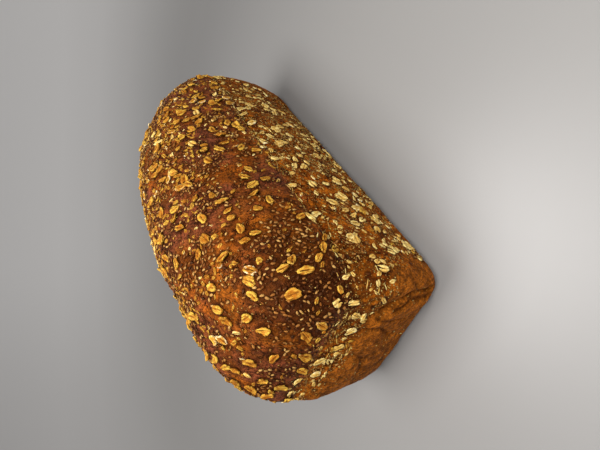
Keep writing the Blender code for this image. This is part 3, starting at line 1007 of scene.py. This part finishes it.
def lay_flakes(crust, draw, room, toasted, raw):
    """The oat flakes: the largest as the solid has them, smaller ones, and fans. Gives places and sizes."""
    seats = flake_seats(loaf_mesh("coarse"))
    places, normals, turns, lengths, widths = (np.array(values) for values in zip(*seats))
    large = (crust.settle(places), normals, turns, np.stack([lengths, widths], axis=1))
    for place, width in zip(large[0], widths):
        room.take(place, width / 2)
    more = scatter(crust, more_flake_cover, MORE_FLAKES, draw, MORE_FLAKE_GAP, room)
    count = len(more[0])
    lengths = draw.uniform(*MORE_FLAKE_LENGTHS, count)
    flat = np.stack([lengths, lengths * draw.uniform(*MORE_FLAKE_SHAPES, count)], axis=1)
    more = (*more, draw.normal(UPRIGHT, TURN_SPREAD, count), flat)
    places, normals, turns, flat = joined(large, more)
    sizes = np.column_stack([flat, draw.uniform(*FLAKE_HEIGHTS, len(flat))])
    tilts = draw.normal(0.0, FLAKE_TILT, len(flat))

    fans = []
    on_walls = (zones(places)[0] > 0.5) & (np.abs(places[:, 0]) < FAN_REACH)
    for first in draw.choice(np.where(on_walls)[0], FAN_COUNT, replace=False):
        for side in (-1.0, 1.0):
            turn = turns[first] + side * draw.uniform(*FAN_TURNS)
            across = frames(normals[first : first + 1], np.array([turn]))[0][:, 1]
            shift = side * FAN_SHIFT * flat[first, 0] * across + FAN_LIFT * normals[first]
            tilt = draw.normal(0.0, FAN_TILT)
            size = (*(flat[first] * draw.uniform(*FAN_SIZES, 2)), FAN_HEIGHT)
            fans.append((places[first] + shift, normals[first], turn, size, tilt))
    places, normals, turns, sizes, tilts = joined((places, normals, turns, sizes, tilts), zip(*fans))

    pale = draw.random(len(places)) < 0.03 + 0.92 * zones(places)[0]
    flat_shapes = [flake_template(draw, FLAT_CURL) for _ in range(FLAKE_KINDS)]
    curled_shapes = [flake_template(draw, draw.uniform(*TOASTED_CURLS)) for _ in range(FLAKE_KINDS)]
    things = (places, normals, sizes, frames(normals, turns, tilts))
    dress("toasted_oats", curled_shapes, things, ~pale, draw, toasted, 0.00010)
    dress("pale_oats", flat_shapes, things, pale, draw, raw, 0.00045)
    return places, sizes[:, :2]


def lay_bits(crust, draw, room, toasted, raw):
    """The broken oats."""
    seats = scatter(crust, bit_cover, BIT_COUNT, draw, BIT_GAP, room)
    lengths = draw.uniform(*BIT_LENGTHS, len(seats[0]))
    things = loose_things(draw, seats, lengths, (0.35, 0.75), 0.30, 0.15)
    pale = draw.random(len(lengths)) < 0.10 + 0.80 * zones(seats[0])[0]
    shapes = [flake_template(draw, 0.4, BIT_SHAPE, 1.6) for _ in range(16)]
    dress("toasted_bits", shapes, things, ~pale, draw, toasted, 0.00005)
    dress("pale_bits", shapes, things, pale, draw, raw, 0.00005)


def lay_seeds(crust, draw, room):
    """The golden and dark seeds. Gives their places."""
    seats = scatter(crust, seed_cover, SEED_COUNT, draw, SEED_GAP, room)
    lengths = draw.uniform(*SEED_LENGTHS, len(seats[0]))
    things = loose_things(draw, seats, lengths, (0.46, 0.64), 0.42, 0.10)
    shapes = [round_template(draw, 7, 5, 0.5, 0.05) for _ in range(6)]
    dark = draw.random(len(lengths)) < DARK_SEED_SHARE + 0.45 * zones(seats[0])[2]
    golden = grain_material("golden_seed", SEED_GOLD, SEED_BROWN, SEED_TAN)
    brown = grain_material("dark_seed", SEED_DARK, SEED_UMBER, SEED_BROWN)
    dress("golden_seeds", shapes, things, ~dark, draw, golden, -0.00012)
    dress("dark_seeds", shapes, things, dark, draw, brown, -0.00012)
    return seats[0]


def lay_crumbs(crust, draw, cream):
    """The crumbs of oats and bran, and the burnt ones."""
    seats = scatter(crust, crumb_cover, CRUMB_COUNT, draw)
    walls, _, burnt_and_shade, _ = zones(seats[0])
    shortest, longest = CRUMB_LENGTHS
    lengths = shortest + (longest - shortest) * draw.random(len(walls)) ** 2
    things = loose_things(draw, seats, lengths, (0.4, 0.8), 0.38)
    shapes = [round_template(draw, 4, 1, 0.0, 0.25) for _ in range(8)]
    kind = draw.random(len(walls))
    light = kind < 0.20 + 0.58 * walls - 0.15 * burnt_and_shade
    black = ~light & (kind > 0.94 - 0.42 * (1.0 - walls) * np.maximum(burnt_and_shade, 0.6))
    bran = grain_material("bran", SEED_TAN, SEED_BROWN, SEED_GOLD)
    char = grain_material("burnt_crumb", CHAR_BROWN, CHAR_BLACK, CHAR_RUST)
    dress("oat_crumbs", shapes, things, light, draw, cream, -0.00005)
    dress("bran_bits", shapes, things, ~light & ~black, draw, bran, -0.00005)
    dress("burnt_crumbs", shapes, things, black, draw, char, -0.00005)


def lay_slivers(crust, draw, cream):
    """The thin slivers of oats."""
    places, normals = scatter(crust, sliver_cover, SLIVER_COUNT, draw)
    count = len(places)
    lengths = draw.uniform(*SLIVER_LENGTHS, count)
    sizes = np.stack([lengths, draw.uniform(*SLIVER_WIDTHS, count), np.full(count, SLIVER_HEIGHT)], axis=1)
    axes = frames(normals, draw.normal(0.0, 0.35, count))
    shapes = [round_template(draw, 5, 3, 0.2, 0.15) for _ in range(6)]
    dress("oat_slivers", shapes, (places, normals, sizes, axes), slice(None), draw, cream, -0.0001)


def contact_shade(points, flakes, sizes, seeds):
    """Painted shade on the crust close round each flake and seed, from 0 to 1."""
    tree = KDTree(len(flakes) + len(seeds))
    reach = np.concatenate([sizes.mean(axis=1) / 2, np.full(len(seeds), 0.0008)])
    for number, place in enumerate(np.concatenate([flakes, seeds])):
        tree.insert(Vector(place), number)
    tree.balance()
    dark = np.zeros(len(points))
    for i, point in enumerate(points):
        for _, number, distance in tree.find_n(Vector(point), 3):
            gap = max(distance - reach[number], 0.0)
            strength = FLAKE_SHADE if number < len(flakes) else SEED_SHADE
            dark[i] = max(dark[i], strength * math.exp(-((gap / SHADE_WIDTH) ** 2)))
    return dark


def make_crust(crust, flakes, sizes, seeds):
    """The crust itself, closed with a fan of triangles underneath, with the values for its material."""
    own_points = np.vstack([crust.points, [0.0, 0.0, 0.0]])
    centre = len(crust.points)
    low = crust.points[:, 2] < 1e-7
    fan = []
    for quad in crust.quads[low[crust.quads].sum(axis=1) == 2]:
        for a, b in zip(quad, np.roll(quad, -1)):
            if low[a] and low[b]:
                fan.append([int(b), int(a), centre])
    points = np.clip(own_points + BASE_SHIFT, *BOX)
    piece = make_object("crust", points, crust.quads.tolist() + fan)

    walls, bare, burnt_and_shade, _ = zones(own_points)
    far_share = 0.4 + 0.6 * smooth_step(-0.06, 0.06, points[:, 0])
    shade = contact_shade(points - BASE_SHIFT, flakes, sizes, seeds)
    for mark, values in (
        ("walls", walls),
        ("bare", bare),
        ("burnt_and_shade", burnt_and_shade),
        # relief: for the painted shade in the hollows and light on the lumps
        ("relief", np.append(crust.relief, 0.0)),
        ("crumbly", clusters(points, -0.15, 0.30, 0.022, 61.0) * far_share),
        # fold: for the painted shade in the sharp creases
        ("fold", 0.68 * np.clip(1.6 * np.append(crust.fold, 0.0), 0.0, 1.0)),
        ("contact_shade", shade * (1.0 - 0.15 * walls)),
    ):
        set_attribute(piece, mark, values)
    piece.data.materials.append(crust_material())
    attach(piece, "root")
    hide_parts("loaf")


def make_loaf():
    """The crust and all that lies on it, from the largest flakes to the slivers."""
    crust = Crust()
    draw = np.random.default_rng(LOOKS_SEED)
    room = Room(ROOM_CELL)
    toasted = flake_material("toasted_oat", OAT_ORANGE, OAT_GOLD, OAT_BROWN, 0.86)
    raw = flake_material("pale_oat", OAT_STRAW, OAT_PALE, OAT_SHADE, 0.62)
    cream = grain_material("oat_crumb", SEED_GOLD, OAT_STRAW, OAT_PALE)
    flakes, sizes = lay_flakes(crust, draw, room, toasted, raw)
    lay_bits(crust, draw, room, toasted, raw)
    seeds = lay_seeds(crust, draw, room)
    lay_crumbs(crust, draw, cream)
    lay_slivers(crust, draw, cream)
    make_crust(crust, flakes, sizes, seeds)


# The rings of the floor: distances from the middle where it is flat, then distances and heights
FLAT_RINGS = (0.05, 0.09, 0.11, 0.125, 0.14, 0.155, 0.17, 0.185, 0.20, 0.22, 0.24, 0.27, 0.30, 0.34, 0.38)
RISING_RINGS = (
    (0.45, 0.0), (0.52, 0.001), (0.60, 0.006), (0.75, 0.028), (0.90, 0.070), (1.05, 0.14),
    (1.18, 0.24), (1.28, 0.36), (1.35, 0.50), (1.38, 0.66), (1.40, 0.85),
)
FLOOR_DROP = 0.0002
FLOOR_SIDES = 96
# Where its painted pool of light lies, and where its painted lighter paper and its glow, which is painted
# light, begin and are full
POOL_PLACE = (-0.135, -0.085)
POOL_SIZE = 0.060
PAINTED_LIGHT_REACH = (0.30, 1.10)
GLOW_REACH = (0.35, 1.15)
BACKDROP_GLOW = 0.20
# The side where the painted glow is weaker, a painted shade
DIM_SIDE = np.array((-0.1, 0.995))
DIM_RANGE = (0.6, 1.0)


def make_stage():
    """A pale floor that rises softly behind the loaf on every side, with a painted pool of light and a
    painted glow on the backdrop.
    """
    points = [(0.0, 0.0, -FLOOR_DROP)]
    faces = []
    rings = [(radius, 0.0) for radius in FLAT_RINGS] + [*RISING_RINGS]
    for ring, (radius, height) in enumerate(rings):
        for i in range(FLOOR_SIDES):
            angle = 2.0 * math.pi * i / FLOOR_SIDES
            points.append((radius * math.cos(angle), radius * math.sin(angle), height - FLOOR_DROP))
            a, b = 1 + ring * FLOOR_SIDES + i, 1 + ring * FLOOR_SIDES + (i + 1) % FLOOR_SIDES
            faces.append((a - FLOOR_SIDES, a, b, b - FLOOR_SIDES) if ring else (0, a, b))
    floor = make_object("floor", np.array(points), faces)
    plan = np.array(points)[:, :2]
    reach = np.hypot(*plan.T)
    dim = smooth_step(*DIM_RANGE, plan @ DIM_SIDE / np.maximum(reach, 0.01))
    # Painted light: paler far off, a pool of light near the loaf, and a glow weaker on one side
    set_attribute(floor, "far", smooth_step(*PAINTED_LIGHT_REACH, reach))
    set_attribute(floor, "pool", bell(np.hypot(*(plan - POOL_PLACE).T), POOL_SIZE))
    set_attribute(floor, "glow", smooth_step(*GLOW_REACH, reach) * (1.0 - 0.5 * dim))

    s = Shader("paper", 0.85, 0.2)
    tone = s.mix(s.ramp(s.noise(0.6), 0.3, 0.7), PAPER_GREY, PAPER_LIGHT)
    # Painted pool of light near the loaf, and painted lighter paper far off
    tone = s.mix(s.attribute("pool"), tone, PAPER_POOL)
    tone = s.mix(s.attribute("far"), tone, PAPER_FAR)
    # The backdrop's glow is painted light, from no lamp
    look = {"Base Color": tone, "Normal": s.bump(s.noise(0.002), 0.0001, 0.1), "Emission Color": PAPER_GLOW}
    look["Emission Strength"] = s.times(s.attribute("glow"), BACKDROP_GLOW)
    floor.data.materials.append(s.finish(look))


# A lamp above and behind the loaf and a weaker one over the camera: place, aim, side, power, colour
LAMPS = (
    ("overhead", (-0.03, 0.13, 0.80), (0.0, 0.0, 0.05), 0.45, 6.3, (1.0, 0.985, 0.96)),
    ("front", (-0.30, -0.28, 0.42), (-0.12, -0.12, 0.0), 0.28, 2.9, (1.0, 0.98, 0.95)),
)
SURROUND_COLOUR = (0.95, 0.97, 1.0, 1.0)
SURROUND_STRENGTH = 0.16


def make_light():
    """The two soft lamps and a dim surround."""
    for name, place, aim, side, power, tint in LAMPS:
        light = bpy.data.lights.new(name, "AREA")
        light.shape = "RECTANGLE"
        light.size = light.size_y = side
        light.energy = power
        light.color = tint
        lamp = bpy.data.objects.new(name, light)
        lamp.location = place
        lamp.rotation_euler = (Vector(aim) - Vector(place)).to_track_quat("-Z", "Y").to_euler()
        bpy.context.scene.collection.objects.link(lamp)
    world = bpy.data.worlds.new("surround")
    bpy.context.scene.world = world
    world.use_nodes = True
    background = world.node_tree.nodes["Background"]
    background.inputs["Color"].default_value = SURROUND_COLOUR
    background.inputs["Strength"].default_value = SURROUND_STRENGTH


def make_camera():
    """The photograph's camera, held upright while the picture is turned a quarter."""
    camera = bpy.data.cameras.new("camera")
    camera.sensor_width = SENSOR_WIDTH
    camera.lens = CAMERA_LENS
    camera.clip_start = 0.01
    holder = bpy.data.objects.new("camera", camera)
    forward = Vector(CAMERA_AIM).normalized()
    right = forward.cross(Vector((0.0, 0.0, 1.0))).normalized()
    up = right.cross(forward)
    roll = math.radians(CAMERA_ROLL)
    across = math.cos(roll) * right + math.sin(roll) * up
    upward = -math.sin(roll) * right + math.cos(roll) * up
    turned = Matrix((across, upward, -forward)).transposed().to_4x4()
    holder.matrix_world = Matrix.Translation(CAMERA_PLACE) @ turned
    bpy.context.scene.collection.objects.link(holder)
    bpy.context.scene.camera = holder


make_loaf()
make_stage()
make_light()
make_camera()
bpy.context.scene.view_settings.view_transform = "Standard"
